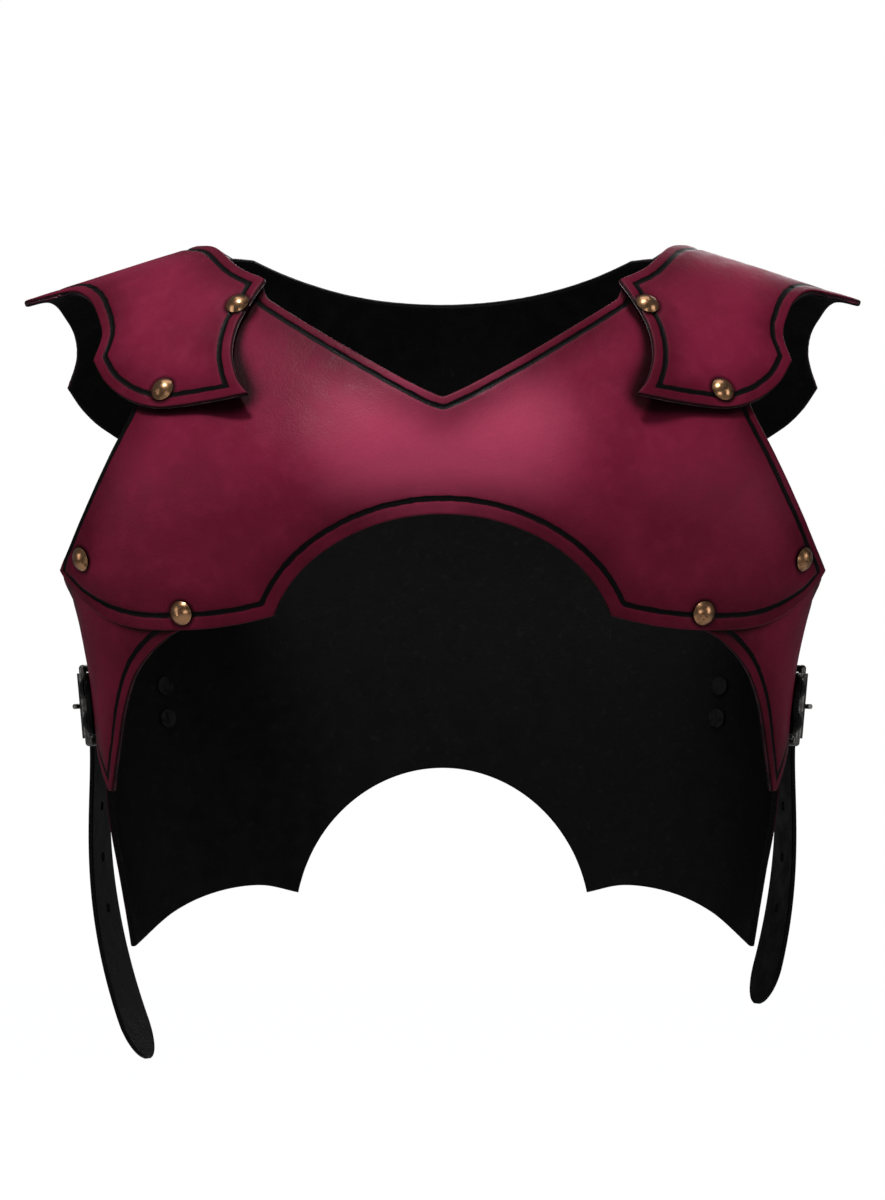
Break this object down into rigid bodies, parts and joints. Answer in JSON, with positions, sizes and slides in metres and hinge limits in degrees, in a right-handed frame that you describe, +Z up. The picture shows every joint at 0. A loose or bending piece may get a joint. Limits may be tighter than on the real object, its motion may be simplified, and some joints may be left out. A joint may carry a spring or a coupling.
{
  "type": "leather breastplate",
  "caption": "Short moulded leather breast and back plate with horned shoulder saddles, side panels, buckled side straps and hanging strap tails.",
  "frame": {"origin": "midway between the two shoulder ridges, at the level of their tops", "axes": "+X to the wearer's left, +Y to the wearer's back, +Z up"},
  "size_m": [0.4086, 0.2212, 0.4021],
  "materials": {
    "leather_red": "satin wine-red dyed leather with black edges and a carved black border line",
    "leather_black": "satin black dyed strap leather",
    "rivet_brass": "antique brass, polished dome",
    "buckle_steel": "black finished steel with worn edges"
  },
  "bodies": {
    "shell": {"breast_plate": "leather_red", "back_plate": "leather_red", "left_shoulder": "leather_red", "right_shoulder": "leather_red", "left_flank": "leather_red", "right_flank": "leather_red", "left_strap": "leather_black", "right_strap": "leather_black", "left_chape": "leather_black", "right_chape": "leather_black", "front_shoulder_rivets": "rivet_brass", "back_shoulder_rivets": "rivet_brass", "flank_rivets": "rivet_brass", "strap_rivets": "buckle_steel", "chape_rivets": "buckle_steel"},
    "left_frame": {"left_buckle_frame": "buckle_steel"},
    "left_prong": {"left_prong": "buckle_steel"},
    "left_roller": {"left_roller": "buckle_steel"},
    "left_tail": {"left_tail": "leather_black"},
    "right_frame": {"right_buckle_frame": "buckle_steel"},
    "right_prong": {"right_prong": "buckle_steel"},
    "right_roller": {"right_roller": "buckle_steel"},
    "right_tail": {"right_tail": "leather_black"}
  },
  "joints": [
    {"name": "left_frame_hinge", "type": "hinge", "parent": "shell", "child": "left_frame", "pos_m": [0.16444, 0.04171, -0.22586], "axis": [0.0924, 0.0426, 0.9948], "range_deg": [0, 6]},
    {"name": "left_prong_hinge", "type": "hinge", "parent": "left_frame", "child": "left_prong", "pos_m": [0.16444, 0.04171, -0.22586], "axis": [0.0924, 0.0426, 0.9948], "range_deg": [0, 6]},
    {"name": "left_roller_spin", "type": "hinge", "parent": "left_frame", "child": "left_roller", "pos_m": [0.17532, 0.0181, -0.22586], "axis": [0.0924, 0.0426, 0.9948], "continuous": true},
    {"name": "left_tail_swing", "type": "hinge", "parent": "shell", "child": "left_tail", "pos_m": [0.16896, 0.04886, -0.2115], "axis": [0.4185, -0.9082, 0], "range_deg": [0, 75], "stiffness_Nm_per_rad": 0.01, "springref_deg": -5.73},
    {"name": "right_frame_hinge", "type": "hinge", "parent": "shell", "child": "right_frame", "pos_m": [-0.16444, 0.04171, -0.22586], "axis": [0.0924, -0.0426, -0.9948], "range_deg": [0, 6]},
    {"name": "right_prong_hinge", "type": "hinge", "parent": "right_frame", "child": "right_prong", "pos_m": [-0.16444, 0.04171, -0.22586], "axis": [0.0924, -0.0426, -0.9948], "range_deg": [0, 6]},
    {"name": "right_roller_spin", "type": "hinge", "parent": "right_frame", "child": "right_roller", "pos_m": [-0.17532, 0.0181, -0.22586], "axis": [0.0924, -0.0426, -0.9948], "continuous": true},
    {"name": "right_tail_swing", "type": "hinge", "parent": "shell", "child": "right_tail", "pos_m": [-0.16896, 0.04886, -0.2115], "axis": [0.4185, 0.9082, 0], "range_deg": [0, 75], "stiffness_Nm_per_rad": 0.01, "springref_deg": -5.73}
  ]
}
